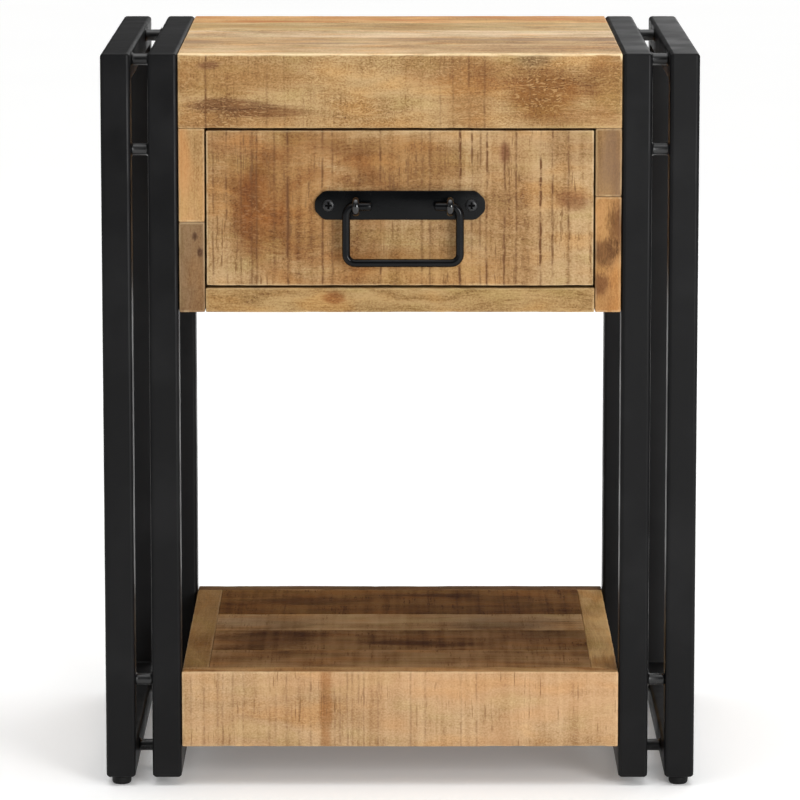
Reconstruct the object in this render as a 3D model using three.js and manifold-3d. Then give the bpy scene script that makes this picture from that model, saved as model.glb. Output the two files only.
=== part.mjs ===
// Side table with one drawer and a lower shelf, between two double-loop steel side frames.
// Millimetres, +Z up. The front faces -Y, +X is to the right of someone facing the drawer.
// The origin is on the floor, in the middle of the whole table, handle included.

import * as THREE from 'three';
import { mergeVertices } from 'three/addons/utils/BufferGeometryUtils.js';
import Module from 'manifold-3d';

const wasm = await Module();
wasm.setup();

// ---------------------------------------------------------------- driving dimensions

const WIDTH = 400;
const DEPTH = 300;
const HEIGHT = 500;
const GAP = 0.3;

const TUBE = 20;
const TUBE_WALL = 1.5;
const TUBE_OUTER_RADIUS = 2.5;
const TUBE_INNER_RADIUS = 1;
const LOOP_SPACING = 11.5;
const SPACER_DIAMETER = 8;
const SPACER_TOP_Z = 494;
const SPACER_UPPER_Z = 435;
const SPACER_LOWER_Z = 72.5;
const SPACER_BOTTOM_Z = 16.3;
const TOP_FRONT_SPACER_DISTANCE = 25;
const TOP_REAR_SPACER_DISTANCE = 210;
const BOTTOM_SPACER_INSET = 55;

const GLIDE_HEIGHT = 6;
const GLIDE_DIAMETER = 13.2;
const GLIDE_FLAT_DIAMETER = 9.6;
const GLIDE_DOME_HEIGHT = 2.6;
const GLIDE_STEM_DIAMETER = 5;
const GLIDE_STEM_LENGTH = 5.5;

const BOX_HEIGHT = 174;
const APRON_HEIGHT = 50;
const TOP_THICKNESS = 18;
const APRON_THICKNESS = 18;
const SIDE_THICKNESS = 17.5;
const BOX_BOTTOM_THICKNESS = 16.5;
const BOX_BACK_THICKNESS = 12;

const SHELF_BOTTOM = 27.5;
const SHELF_HEIGHT = 52;
const SHELF_END_BOARD = 15;
const SHELF_SIDE_BOARD = 18;
const SHELF_PANEL_THICKNESS = 18;

const DRAWER_SIDE_CLEARANCE = 1.2;
const DRAWER_TOP_CLEARANCE = 1.5;
const DRAWER_BOTTOM_CLEARANCE = 1.7;
const DRAWER_FRONT_THICKNESS = 18;
const DRAWER_WALL = 12;
const DRAWER_LENGTH = 272;
const DRAWER_WALL_TOP_DROP = 6;
const DRAWER_BOTTOM_THICKNESS = 5;
const DRAWER_BOTTOM_LIFT = 7;
const GROOVE_DEPTH = 5;
const GUIDE_WIDTH = 9;
const GUIDE_HEIGHT = 12;
const GUIDE_CLEARANCE = 1;

const HANDLE_Z = 398.5;
const HANDLE_SHIFT = 2;
const PLATE_LENGTH = 114;
const PLATE_HEIGHT = 19.5;
const PLATE_THICKNESS = 2;
const PLATE_CORNER_CUT = 6;
const EYE_OFFSET = 31.5;
const EYE_DIAMETER = 12.8;
const EYE_BORE = 6.6;
const EYE_THICKNESS = 5;
const EYE_STEM = 3.6;
const BAIL_ROD = 5.5;
const BAIL_WIDTH = 76;
const BAIL_DROP = 38;
const BAIL_BEND = 6;
const BAIL_END_REACH = 15.8;
const BAIL_STANDOFF = 7;
const SCREW_OFFSET = 47.8;
const SCREW_HEAD_DIAMETER = 8;
const SCREW_HEAD_HEIGHT = 1.6;
const SCREW_SHANK_DIAMETER = 3.4;
const SCREW_LENGTH = 13;
const SCREW_TIP_LENGTH = 3;
const SCREW_RECESS_LENGTH = 4.6;
const SCREW_RECESS_WIDTH = 1.2;
const SCREW_RECESS_DEPTH = 0.9;

const ROUND_SEGMENTS = 24;

// ---------------------------------------------------------------- worked-out places

const HANDLE_PROJECTION = PLATE_THICKNESS + BAIL_STANDOFF + EYE_DIAMETER / 2;
const FRONT = (HANDLE_PROJECTION - DEPTH) / 2;
const BACK = FRONT + DEPTH;

const LOOP_BOTTOM = GLIDE_HEIGHT;
const OUTER_LOOP_X = WIDTH / 2 - TUBE / 2;
const INNER_LOOP_X = OUTER_LOOP_X - TUBE - LOOP_SPACING;
const SPACER_X = (OUTER_LOOP_X + INNER_LOOP_X) / 2;
const WOOD_HALF_WIDTH = INNER_LOOP_X - TUBE / 2 - GAP;

const BOX_BOTTOM = HEIGHT - BOX_HEIGHT;
const APRON_BOTTOM = HEIGHT - APRON_HEIGHT;
const TOP_UNDERSIDE = HEIGHT - TOP_THICKNESS;
const OPENING_HALF_WIDTH = WOOD_HALF_WIDTH - SIDE_THICKNESS;
const OPENING_BOTTOM = BOX_BOTTOM + BOX_BOTTOM_THICKNESS;

const DRAWER_FRONT_HALF_WIDTH = OPENING_HALF_WIDTH - DRAWER_SIDE_CLEARANCE;
const DRAWER_FRONT_BOTTOM = OPENING_BOTTOM + DRAWER_BOTTOM_CLEARANCE;
const DRAWER_FRONT_TOP = APRON_BOTTOM - DRAWER_TOP_CLEARANCE;
const DRAWER_BOX_HALF_WIDTH = OPENING_HALF_WIDTH - GAP - GUIDE_WIDTH - GUIDE_CLEARANCE;
const DRAWER_WALL_BOTTOM = OPENING_BOTTOM + GAP;
const DRAWER_WALL_TOP = DRAWER_FRONT_TOP - DRAWER_WALL_TOP_DROP;
const DRAWER_WALL_FRONT = FRONT + DRAWER_FRONT_THICKNESS + GAP;
const DRAWER_WALL_BACK = FRONT + DRAWER_LENGTH;
const DRAWER_FLOOR_Z = DRAWER_WALL_BOTTOM + DRAWER_BOTTOM_LIFT;

const PLATE_FACE_Y = FRONT - GAP - PLATE_THICKNESS;
const EYE_HOLE = EYE_STEM * Math.SQRT2 + 2 * GAP;
const PIVOT_Y = FRONT - PLATE_THICKNESS - BAIL_STANDOFF;

const X_AXIS = new THREE.Vector3(1, 0, 0);
const Y_AXIS = new THREE.Vector3(0, 1, 0);
const Z_AXIS = new THREE.Vector3(0, 0, 1);

// ---------------------------------------------------------------- materials

function finish(color, roughness, metalness) {
  return new THREE.MeshStandardMaterial({ color, roughness, metalness });
}

const blackSteel = finish(0x1b1b1c, 0.5, 0.3);
const blackIron = finish(0x121417, 0.42, 0.55);
const screwSteel = finish(0x2c2d2e, 0.45, 0.6);
const blackPlastic = finish(0x141414, 0.6, 0);
const tanWood = finish(0xb98a55, 0.75, 0);
const brownWood = finish(0x93683f, 0.78, 0);
const drawerWood = finish(0xc7a275, 0.8, 0);

// ---------------------------------------------------------------- shape helpers

function place(name, geometry, material, x, y, z) {
  const mesh = new THREE.Mesh(geometry, material);
  mesh.name = name;
  mesh.position.set(x, y, z);
  return mesh;
}

function solidFrom(geometry) {
  const bare = geometry.clone();
  bare.deleteAttribute('normal');
  bare.deleteAttribute('uv');
  const merged = mergeVertices(bare);
  const vertProperties = new Float32Array(merged.attributes.position.array);
  const triVerts = new Uint32Array(merged.index.array);
  return new wasm.Manifold(new wasm.Mesh({ numProp: 3, vertProperties, triVerts }));
}

function cut(geometry, tools) {
  let solid = solidFrom(geometry);
  for (const tool of tools) {
    solid = solid.subtract(solidFrom(tool));
  }
  const { vertProperties, triVerts } = solid.getMesh();
  const result = new THREE.BufferGeometry();
  result.setAttribute('position', new THREE.BufferAttribute(vertProperties, 3));
  result.setIndex(new THREE.BufferAttribute(triVerts, 1));
  const faceted = result.toNonIndexed();
  faceted.computeVertexNormals();
  return faceted;
}

// A board from its lowest to its highest corner.
function board(name, material, low, high) {
  const size = high.map((value, axis) => value - low[axis]);
  const centre = high.map((value, axis) => (value + low[axis]) / 2);
  return place(name, new THREE.BoxGeometry(...size), material, ...centre);
}

function extrude(shape, depth, curveSegments) {
  return new THREE.ExtrudeGeometry(shape, { depth, bevelEnabled: false, curveSegments });
}

// A front-to-back outline, given as [y, z] points, run across the table along +X.
function boardAcross(name, material, outline, left, right) {
  const shape = new THREE.Shape(outline.map(([y, z]) => new THREE.Vector2(y, z)));
  const mesh = place(name, extrude(shape, right - left, 1), material, left, 0, 0);
  mesh.quaternion.setFromRotationMatrix(new THREE.Matrix4().makeBasis(Y_AXIS, Z_AXIS, X_AXIS));
  return mesh;
}

function roundedSquare(PathType, size, radius) {
  const half = size / 2;
  const inset = half - radius;
  const path = new PathType();
  path.moveTo(-inset, -half);
  path.lineTo(inset, -half);
  path.absarc(inset, -inset, radius, -Math.PI / 2, 0, false);
  path.lineTo(half, inset);
  path.absarc(inset, inset, radius, 0, Math.PI / 2, false);
  path.lineTo(-inset, half);
  path.absarc(-inset, inset, radius, Math.PI / 2, Math.PI, false);
  path.lineTo(-half, -inset);
  path.absarc(-inset, -inset, radius, Math.PI, Math.PI * 1.5, false);
  return path;
}

function rodAlongX(diameter, length) {
  const geometry = new THREE.CylinderGeometry(diameter / 2, diameter / 2, length, ROUND_SEGMENTS);
  return geometry.rotateZ(Math.PI / 2);
}

function rodAlongY(diameter, length) {
  return new THREE.CylinderGeometry(diameter / 2, diameter / 2, length, ROUND_SEGMENTS);
}

// ---------------------------------------------------------------- side frames

// A square tube along local +Z with both ends mitred at 45 degrees. Local +X is the side on the
// outside of the loop, where the tube keeps its full length.
function mitredTube(length) {
  const section = roundedSquare(THREE.Shape, TUBE, TUBE_OUTER_RADIUS);
  section.holes.push(roundedSquare(THREE.Path, TUBE - 2 * TUBE_WALL, TUBE_INNER_RADIUS));
  const geometry = extrude(section, length, 4);
  const positions = geometry.attributes.position;
  const weldInset = GAP * Math.SQRT1_2;
  for (let index = 0; index < positions.count; index += 1) {
    const mitre = TUBE / 2 - positions.getX(index) + weldInset;
    const atStart = positions.getZ(index) < length / 2;
    positions.setZ(index, atStart ? mitre : length - mitre);
  }
  geometry.computeVertexNormals();
  return geometry;
}

function frameTube(name, length, x, y, z, along, outward) {
  const tube = place(name, mitredTube(length), blackSteel, x, y, z);
  const across = new THREE.Vector3().crossVectors(along, outward);
  tube.quaternion.setFromRotationMatrix(new THREE.Matrix4().makeBasis(outward, across, along));
  return tube;
}

// The bottom bar of an outer loop is drilled for the stems of its two glides.
function drillForGlides(bar) {
  const hole = GLIDE_STEM_DIAMETER + 2 * GAP;
  const drills = [TUBE / 2, DEPTH - TUBE / 2].map((distance) => {
    const drill = rodAlongX(hole, TUBE_WALL * 4);
    return drill.translate(TUBE / 2, 0, distance);
  });
  bar.geometry = cut(bar.geometry, drills);
}

function tubeLoop(prefix, x, isOuter) {
  const height = HEIGHT - LOOP_BOTTOM;
  const forward = Y_AXIS.clone().negate();
  const down = Z_AXIS.clone().negate();
  const half = TUBE / 2;
  const post = (end, y, outward) => (
    frameTube(`${prefix}_${end}_post`, height, x, y, LOOP_BOTTOM, Z_AXIS, outward)
  );
  const bar = (level, z, outward) => (
    frameTube(`${prefix}_${level}_bar`, DEPTH, x, FRONT, z, Y_AXIS, outward)
  );
  const frontPost = post('front', FRONT + half, forward);
  const rearPost = post('rear', BACK - half, Y_AXIS);
  const topBar = bar('top', HEIGHT - half, Z_AXIS);
  const bottomBar = bar('bottom', LOOP_BOTTOM + half, down);
  if (isOuter) {
    drillForGlides(bottomBar);
  }
  return [frontPost, rearPost, topBar, bottomBar];
}

// Where the round spacers sit between the two loops: distance behind the front, and height.
const SPACERS = {
  top_front: [TOP_FRONT_SPACER_DISTANCE, SPACER_TOP_Z],
  top_rear: [TOP_REAR_SPACER_DISTANCE, SPACER_TOP_Z],
  front_upper: [TUBE / 2, SPACER_UPPER_Z],
  front_lower: [TUBE / 2, SPACER_LOWER_Z],
  rear_upper: [DEPTH - TUBE / 2, SPACER_UPPER_Z],
  rear_lower: [DEPTH - TUBE / 2, SPACER_LOWER_Z],
  bottom_front: [BOTTOM_SPACER_INSET, SPACER_BOTTOM_Z],
  bottom_rear: [DEPTH - BOTTOM_SPACER_INSET, SPACER_BOTTOM_Z],
};

function spacers(side, sign) {
  const rod = rodAlongX(SPACER_DIAMETER, LOOP_SPACING - 2 * GAP);
  return Object.entries(SPACERS).map(([spot, [behind, z]]) => (
    place(`${side}_${spot}_spacer`, rod.clone(), blackSteel, sign * SPACER_X, FRONT + behind, z)
  ));
}

// A turned glide: a domed foot with a flat underside, and a stem that plugs into the tube.
function glideGeometry() {
  const radius = GLIDE_DIAMETER / 2;
  const flat = GLIDE_FLAT_DIAMETER / 2;
  const shoulder = GLIDE_HEIGHT - GAP;
  const stem = GLIDE_STEM_DIAMETER / 2;
  const profile = [new THREE.Vector2(0, 0), new THREE.Vector2(flat, 0)];
  const domeSteps = 4;
  for (let step = 1; step <= domeSteps; step += 1) {
    const turn = (step / domeSteps) * (Math.PI / 2);
    profile.push(new THREE.Vector2(
      flat + (radius - flat) * Math.sin(turn),
      GLIDE_DOME_HEIGHT * (1 - Math.cos(turn)),
    ));
  }
  profile.push(new THREE.Vector2(radius, shoulder));
  profile.push(new THREE.Vector2(stem, shoulder));
  profile.push(new THREE.Vector2(stem, shoulder + GLIDE_STEM_LENGTH));
  profile.push(new THREE.Vector2(0, shoulder + GLIDE_STEM_LENGTH));
  return new THREE.LatheGeometry(profile, ROUND_SEGMENTS).rotateX(Math.PI / 2);
}

function sideFrame(side, sign) {
  const frame = new THREE.Group();
  frame.add(...tubeLoop(`${side}_outer`, sign * OUTER_LOOP_X, true));
  frame.add(...tubeLoop(`${side}_inner`, sign * INNER_LOOP_X, false));
  frame.add(...spacers(side, sign));
  const x = sign * OUTER_LOOP_X;
  for (const [end, y] of [['front', FRONT + TUBE / 2], ['rear', BACK - TUBE / 2]]) {
    frame.add(place(`${side}_${end}_glide`, glideGeometry(), blackPlastic, x, y, 0));
  }
  return frame;
}

// ---------------------------------------------------------------- drawer box

// The top panel and the front apron meet in a mitre along the front top edge.
function topPanel() {
  const outline = [
    [FRONT, HEIGHT],
    [FRONT + APRON_THICKNESS, TOP_UNDERSIDE],
    [BACK, TOP_UNDERSIDE],
    [BACK, HEIGHT],
  ];
  return boardAcross('top_panel', tanWood, outline, -WOOD_HALF_WIDTH, WOOD_HALF_WIDTH);
}

function frontApron() {
  const mitreDrop = GAP * Math.SQRT2;
  const outline = [
    [FRONT, HEIGHT - mitreDrop],
    [FRONT, APRON_BOTTOM],
    [FRONT + APRON_THICKNESS, APRON_BOTTOM],
    [FRONT + APRON_THICKNESS, TOP_UNDERSIDE - mitreDrop],
  ];
  return boardAcross('front_apron', tanWood, outline, -WOOD_HALF_WIDTH, WOOD_HALF_WIDTH);
}

// A side panel runs under the top panel and is notched round the apron.
function boxSidePanel(side, sign) {
  const notchY = FRONT + APRON_THICKNESS + GAP;
  const notchZ = APRON_BOTTOM - GAP;
  const outline = [
    [FRONT, BOX_BOTTOM],
    [BACK, BOX_BOTTOM],
    [BACK, TOP_UNDERSIDE - GAP],
    [notchY, TOP_UNDERSIDE - GAP],
    [notchY, notchZ],
    [FRONT, notchZ],
  ];
  const left = sign < 0 ? -WOOD_HALF_WIDTH : OPENING_HALF_WIDTH;
  return boardAcross(`box_${side}_panel`, tanWood, outline, left, left + SIDE_THICKNESS);
}

function drawerBoxHousing() {
  const housing = new THREE.Group();
  const innerHalf = OPENING_HALF_WIDTH - GAP;
  housing.add(topPanel());
  housing.add(frontApron());
  housing.add(board(
    'box_bottom_panel',
    tanWood,
    [-innerHalf, FRONT, BOX_BOTTOM],
    [innerHalf, BACK, OPENING_BOTTOM],
  ));
  housing.add(board(
    'box_back_panel',
    tanWood,
    [-innerHalf, BACK - BOX_BACK_THICKNESS, OPENING_BOTTOM + GAP],
    [innerHalf, BACK, TOP_UNDERSIDE - GAP],
  ));
  for (const [side, sign] of [['left', -1], ['right', 1]]) {
    housing.add(boxSidePanel(side, sign));
    const guideCentre = sign * (innerHalf - GUIDE_WIDTH / 2);
    housing.add(board(
      `drawer_${side}_guide`,
      drawerWood,
      [guideCentre - GUIDE_WIDTH / 2, DRAWER_WALL_FRONT + GAP, OPENING_BOTTOM + GAP],
      [guideCentre + GUIDE_WIDTH / 2, BACK - BOX_BACK_THICKNESS - GAP, OPENING_BOTTOM + GUIDE_HEIGHT],
    ));
  }
  return housing;
}

// ---------------------------------------------------------------- lower shelf

function lowerShelf() {
  const shelf = new THREE.Group();
  const top = SHELF_BOTTOM + SHELF_HEIGHT;
  const sideFront = FRONT + SHELF_END_BOARD + GAP;
  const sideBack = BACK - SHELF_END_BOARD - GAP;
  const panelHalf = WOOD_HALF_WIDTH - SHELF_SIDE_BOARD - GAP;
  for (const [end, y] of [['front', FRONT], ['back', BACK - SHELF_END_BOARD]]) {
    shelf.add(board(
      `shelf_${end}_board`,
      tanWood,
      [-WOOD_HALF_WIDTH, y, SHELF_BOTTOM],
      [WOOD_HALF_WIDTH, y + SHELF_END_BOARD, top],
    ));
  }
  for (const [side, x] of [['left', -WOOD_HALF_WIDTH], ['right', WOOD_HALF_WIDTH - SHELF_SIDE_BOARD]]) {
    shelf.add(board(
      `shelf_${side}_board`,
      tanWood,
      [x, sideFront, SHELF_BOTTOM],
      [x + SHELF_SIDE_BOARD, sideBack, top],
    ));
  }
  shelf.add(board(
    'shelf_panel',
    brownWood,
    [-panelHalf, sideFront, top - SHELF_PANEL_THICKNESS],
    [panelHalf, sideBack, top],
  ));
  return shelf;
}

// ---------------------------------------------------------------- drawer

// The slot that the drawer floor slips into, as a tool to cut from the four walls.
function floorGroove(mesh) {
  const reach = DRAWER_BOX_HALF_WIDTH - DRAWER_WALL + GROOVE_DEPTH;
  const start = FRONT + DRAWER_FRONT_THICKNESS - GROOVE_DEPTH;
  const end = DRAWER_WALL_BACK - DRAWER_WALL + GROOVE_DEPTH;
  const groove = new THREE.BoxGeometry(2 * reach, end - start, DRAWER_BOTTOM_THICKNESS + 2 * GAP);
  return groove.translate(
    -mesh.position.x,
    (start + end) / 2 - mesh.position.y,
    DRAWER_FLOOR_Z + DRAWER_BOTTOM_THICKNESS / 2 - mesh.position.z,
  );
}

function drawerWall(name, low, high) {
  const wall = board(name, drawerWood, low, high);
  wall.geometry = cut(wall.geometry, [floorGroove(wall)]);
  return wall;
}

// The front board is drilled through for the eye stems and part way for the plate screws.
function drawerFront() {
  const front = board(
    'drawer_front',
    tanWood,
    [-DRAWER_FRONT_HALF_WIDTH, FRONT, DRAWER_FRONT_BOTTOM],
    [DRAWER_FRONT_HALF_WIDTH, FRONT + DRAWER_FRONT_THICKNESS, DRAWER_FRONT_TOP],
  );
  const tools = [floorGroove(front)];
  const drill = (x, diameter, depth) => {
    const hole = rodAlongY(diameter, 2 * depth);
    tools.push(hole.translate(x, FRONT - front.position.y, HANDLE_Z - front.position.z));
  };
  for (const sign of [-1, 1]) {
    drill(HANDLE_SHIFT + sign * EYE_OFFSET, EYE_HOLE, DRAWER_FRONT_THICKNESS + 1);
    drill(sign * SCREW_OFFSET, SCREW_SHANK_DIAMETER + 2 * GAP, SCREW_LENGTH);
  }
  front.geometry = cut(front.geometry, tools);
  return front;
}

function drawerBox() {
  const drawer = new THREE.Group();
  const half = DRAWER_BOX_HALF_WIDTH;
  const innerHalf = half - DRAWER_WALL - GAP;
  const floorHalf = half - DRAWER_WALL + GROOVE_DEPTH - GAP;
  const floorFront = FRONT + DRAWER_FRONT_THICKNESS - GROOVE_DEPTH + GAP;
  const floorBack = DRAWER_WALL_BACK - DRAWER_WALL + GROOVE_DEPTH - GAP;
  drawer.add(drawerFront());
  drawer.add(drawerWall(
    'drawer_left_wall',
    [-half, DRAWER_WALL_FRONT, DRAWER_WALL_BOTTOM],
    [-half + DRAWER_WALL, DRAWER_WALL_BACK, DRAWER_WALL_TOP],
  ));
  drawer.add(drawerWall(
    'drawer_right_wall',
    [half - DRAWER_WALL, DRAWER_WALL_FRONT, DRAWER_WALL_BOTTOM],
    [half, DRAWER_WALL_BACK, DRAWER_WALL_TOP],
  ));
  drawer.add(drawerWall(
    'drawer_back_wall',
    [-innerHalf, DRAWER_WALL_BACK - DRAWER_WALL, DRAWER_WALL_BOTTOM],
    [innerHalf, DRAWER_WALL_BACK, DRAWER_WALL_TOP],
  ));
  drawer.add(board(
    'drawer_floor',
    drawerWood,
    [-floorHalf, floorFront, DRAWER_FLOOR_Z],
    [floorHalf, floorBack, DRAWER_FLOOR_Z + DRAWER_BOTTOM_THICKNESS],
  ));
  return drawer;
}

// ---------------------------------------------------------------- handle

// The back plate: a flat bar with its four corners cut off, drilled for two screws and two eyes.
function handlePlate() {
  const halfLength = PLATE_LENGTH / 2;
  const halfHeight = PLATE_HEIGHT / 2;
  const cutLength = halfLength - PLATE_CORNER_CUT;
  const cutHeight = halfHeight - PLATE_CORNER_CUT;
  const outline = [
    [-cutLength, -halfHeight],
    [cutLength, -halfHeight],
    [halfLength, -cutHeight],
    [halfLength, cutHeight],
    [cutLength, halfHeight],
    [-cutLength, halfHeight],
    [-halfLength, cutHeight],
    [-halfLength, -cutHeight],
  ];
  const shape = new THREE.Shape(outline.map(([x, z]) => new THREE.Vector2(x, z)));
  const bore = (x, diameter) => {
    const hole = new THREE.Path();
    hole.absarc(x, 0, diameter / 2, 0, Math.PI * 2, true);
    shape.holes.push(hole);
  };
  for (const sign of [-1, 1]) {
    bore(HANDLE_SHIFT + sign * EYE_OFFSET, EYE_HOLE);
    bore(sign * SCREW_OFFSET, SCREW_SHANK_DIAMETER + 2 * GAP);
  }
  const geometry = extrude(shape, PLATE_THICKNESS, ROUND_SEGMENTS / 2).rotateX(Math.PI / 2);
  return place('handle_plate', geometry, blackIron, 0, PLATE_FACE_Y + PLATE_THICKNESS, HANDLE_Z);
}

// An eye bolt: a ring standing off the plate, and a stem through the plate and the drawer front.
function handleEye(side, sign) {
  const radius = EYE_DIAMETER / 2;
  const stemHalf = EYE_STEM / 2;
  const stemLength = BAIL_STANDOFF + PLATE_THICKNESS + DRAWER_FRONT_THICKNESS;
  const stemStart = Math.asin(stemHalf / radius);
  const shape = new THREE.Shape();
  shape.absarc(0, 0, radius, stemStart, Math.PI * 2 - stemStart, false);
  shape.lineTo(stemLength, -stemHalf);
  shape.lineTo(stemLength, stemHalf);
  const bore = new THREE.Path();
  bore.absarc(0, 0, EYE_BORE / 2, 0, Math.PI * 2, true);
  shape.holes.push(bore);
  const ring = extrude(shape, EYE_THICKNESS, ROUND_SEGMENTS / 2).translate(0, 0, -EYE_THICKNESS / 2);
  ring.applyMatrix4(new THREE.Matrix4().makeBasis(Y_AXIS, Z_AXIS, X_AXIS));
  const shoulder = BAIL_STANDOFF - 2 * GAP;
  const slimmer = [-1, 1].map((flank) => {
    const trim = new THREE.BoxGeometry(EYE_THICKNESS, stemLength, EYE_DIAMETER);
    return trim.translate(flank * (stemHalf + EYE_THICKNESS / 2), shoulder + stemLength / 2, 0);
  });
  const x = HANDLE_SHIFT + sign * EYE_OFFSET;
  return place(`handle_${side}_eye`, cut(ring, slimmer), blackIron, x, PIVOT_Y, HANDLE_Z);
}

// The bail hangs from the eyes: two inward ends, two legs and a grip, bent from one round rod.
function handleBail() {
  const half = BAIL_WIDTH / 2;
  const bend = BAIL_BEND;
  const end = half - BAIL_END_REACH;
  const point = (x, z) => new THREE.Vector3(x, 0, z);
  const route = new THREE.CurvePath();
  const straight = (from, to) => route.add(new THREE.LineCurve3(from, to));
  const corner = (from, middle, to) => route.add(new THREE.QuadraticBezierCurve3(from, middle, to));
  straight(point(-end, 0), point(-half + bend, 0));
  corner(point(-half + bend, 0), point(-half, 0), point(-half, -bend));
  straight(point(-half, -bend), point(-half, -BAIL_DROP + bend));
  corner(point(-half, -BAIL_DROP + bend), point(-half, -BAIL_DROP), point(-half + bend, -BAIL_DROP));
  straight(point(-half + bend, -BAIL_DROP), point(half - bend, -BAIL_DROP));
  corner(point(half - bend, -BAIL_DROP), point(half, -BAIL_DROP), point(half, -BAIL_DROP + bend));
  straight(point(half, -BAIL_DROP + bend), point(half, -bend));
  corner(point(half, -bend), point(half, 0), point(half - bend, 0));
  straight(point(half - bend, 0), point(end, 0));
  const section = new THREE.Shape();
  section.absarc(0, 0, BAIL_ROD / 2, 0, Math.PI * 2, false);
  const steps = 64;
  const geometry = new THREE.ExtrudeGeometry(section, {
    steps, extrudePath: route, bevelEnabled: false, curveSegments: 6,
  });
  return place('handle_bail', geometry, blackIron, HANDLE_SHIFT, PIVOT_Y, HANDLE_Z);
}

// A pan-head wood screw with a cross recess, along +Y into the drawer front.
function handleScrew(side, sign) {
  const head = SCREW_HEAD_DIAMETER / 2;
  const shank = SCREW_SHANK_DIAMETER / 2;
  const profile = [];
  const domeSteps = 5;
  for (let step = 0; step <= domeSteps; step += 1) {
    const turn = (step / domeSteps) * (Math.PI / 2);
    const depth = SCREW_HEAD_HEIGHT * (1 - Math.cos(turn));
    profile.push(new THREE.Vector2(head * Math.sin(turn), depth));
  }
  profile.push(new THREE.Vector2(shank, SCREW_HEAD_HEIGHT));
  profile.push(new THREE.Vector2(shank, SCREW_LENGTH - SCREW_TIP_LENGTH));
  profile.push(new THREE.Vector2(0, SCREW_LENGTH));
  const depth = 2 * SCREW_RECESS_DEPTH;
  const recess = [
    new THREE.BoxGeometry(SCREW_RECESS_LENGTH, depth, SCREW_RECESS_WIDTH),
    new THREE.BoxGeometry(SCREW_RECESS_WIDTH, depth, SCREW_RECESS_LENGTH),
  ];
  const geometry = cut(new THREE.LatheGeometry(profile, ROUND_SEGMENTS), recess);
  const headY = PLATE_FACE_Y - GAP - SCREW_HEAD_HEIGHT;
  return place(`handle_${side}_screw`, geometry, screwSteel, sign * SCREW_OFFSET, headY, HANDLE_Z);
}

function drawerHandle() {
  const handle = new THREE.Group();
  handle.add(handlePlate(), handleBail());
  for (const [side, sign] of [['left', -1], ['right', 1]]) {
    handle.add(handleEye(side, sign), handleScrew(side, sign));
  }
  return handle;
}

// ---------------------------------------------------------------- the table

const table = new THREE.Group();
table.add(sideFrame('left', -1), sideFrame('right', 1));
table.add(drawerBoxHousing(), lowerShelf(), drawerBox(), drawerHandle());

export default table;
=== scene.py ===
"""Side table with a drawer and a shelf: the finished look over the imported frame. Metres, +Z up."""

import itertools
import math

import bmesh
import bpy
import numpy as np
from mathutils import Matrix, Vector


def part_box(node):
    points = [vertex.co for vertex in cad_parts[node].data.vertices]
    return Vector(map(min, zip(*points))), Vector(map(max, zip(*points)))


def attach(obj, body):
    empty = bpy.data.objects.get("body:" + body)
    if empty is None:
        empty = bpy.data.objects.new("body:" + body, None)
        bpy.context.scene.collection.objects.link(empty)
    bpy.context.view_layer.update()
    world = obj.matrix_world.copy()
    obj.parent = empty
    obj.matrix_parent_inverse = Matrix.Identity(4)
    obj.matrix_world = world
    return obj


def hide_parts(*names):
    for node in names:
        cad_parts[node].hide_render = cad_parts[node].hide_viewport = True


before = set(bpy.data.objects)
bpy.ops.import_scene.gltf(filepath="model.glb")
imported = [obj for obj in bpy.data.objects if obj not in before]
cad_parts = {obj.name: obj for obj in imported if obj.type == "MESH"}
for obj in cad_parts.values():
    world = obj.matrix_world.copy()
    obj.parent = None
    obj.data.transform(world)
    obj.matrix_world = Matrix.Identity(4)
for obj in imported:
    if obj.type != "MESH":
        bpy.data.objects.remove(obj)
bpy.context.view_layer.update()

MM = 0.001
X, Y, Z = 0, 1, 2
SIDES = ("left", "right")


# ---------------- places taken from the frame

def low(node):
    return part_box(node)[0]


def high(node):
    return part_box(node)[1]


FRONT = low("drawer_front").y
BACK = high("top_panel").y
TABLE_TOP = high("top_panel").z

QUARTER_TURN = math.pi / 2
CRISP_ANGLE = 32            # degrees: edges sharper than this stay crisp
BEVELLED_CRISP_ANGLE = 40   # the same on pieces whose edges are bevelled
SKIRT = 0.9 * MM            # a flat strip beside each rounded edge, which keeps its shading narrow
ARC_STEPS = 4               # faces round the corner of an outline


# ---------------- repeatable noise for shapes

def lattice(cells, seed):
    """Pseudo-random numbers from -1 to 1, always the same for the same whole-number cells and seed."""
    word, half_word = 0xFFFFFFFF, 0xFFFF
    mixed = (cells @ np.array([374761393, 668265263, 1442695041]) + seed * 974634777) & word
    mixed = ((mixed ^ (mixed >> 13)) * 1274126177) & word
    return ((mixed ^ (mixed >> 16)) & half_word) / (half_word / 2) - 1.0


def wander(points, wavelength, seed):
    """Smooth noise from about -1 to 1 at each point, with bumps about one wavelength apart."""
    scaled = points / wavelength
    cells = np.floor(scaled).astype(np.int64)
    part = scaled - cells
    part = part * part * (3 - 2 * part)
    total = np.zeros(len(points))
    for corner in itertools.product((0, 1), repeat=3):
        weight = np.prod(np.where(corner, part, 1 - part), axis=1)
        total += weight * lattice(cells + np.array(corner), seed)
    return total


# ---------------- mesh helpers

def add_piece(name, points, faces, materials, body, stands_for):
    """A mesh object in the row frame that rides on a body and stands for CAD nodes."""
    mesh = bpy.data.meshes.new(name)
    mesh.from_pydata([tuple(map(float, p)) for p in points], [], faces)
    for material in materials:
        mesh.materials.append(material)
    build = bmesh.new()
    build.from_mesh(mesh)
    bmesh.ops.recalc_face_normals(build, faces=build.faces)
    build.to_mesh(mesh)
    build.free()
    piece = bpy.data.objects.new(name, mesh)
    bpy.context.scene.collection.objects.link(piece)
    smooth(piece, CRISP_ANGLE)
    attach(piece, body)
    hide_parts(*stands_for)
    return piece


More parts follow.
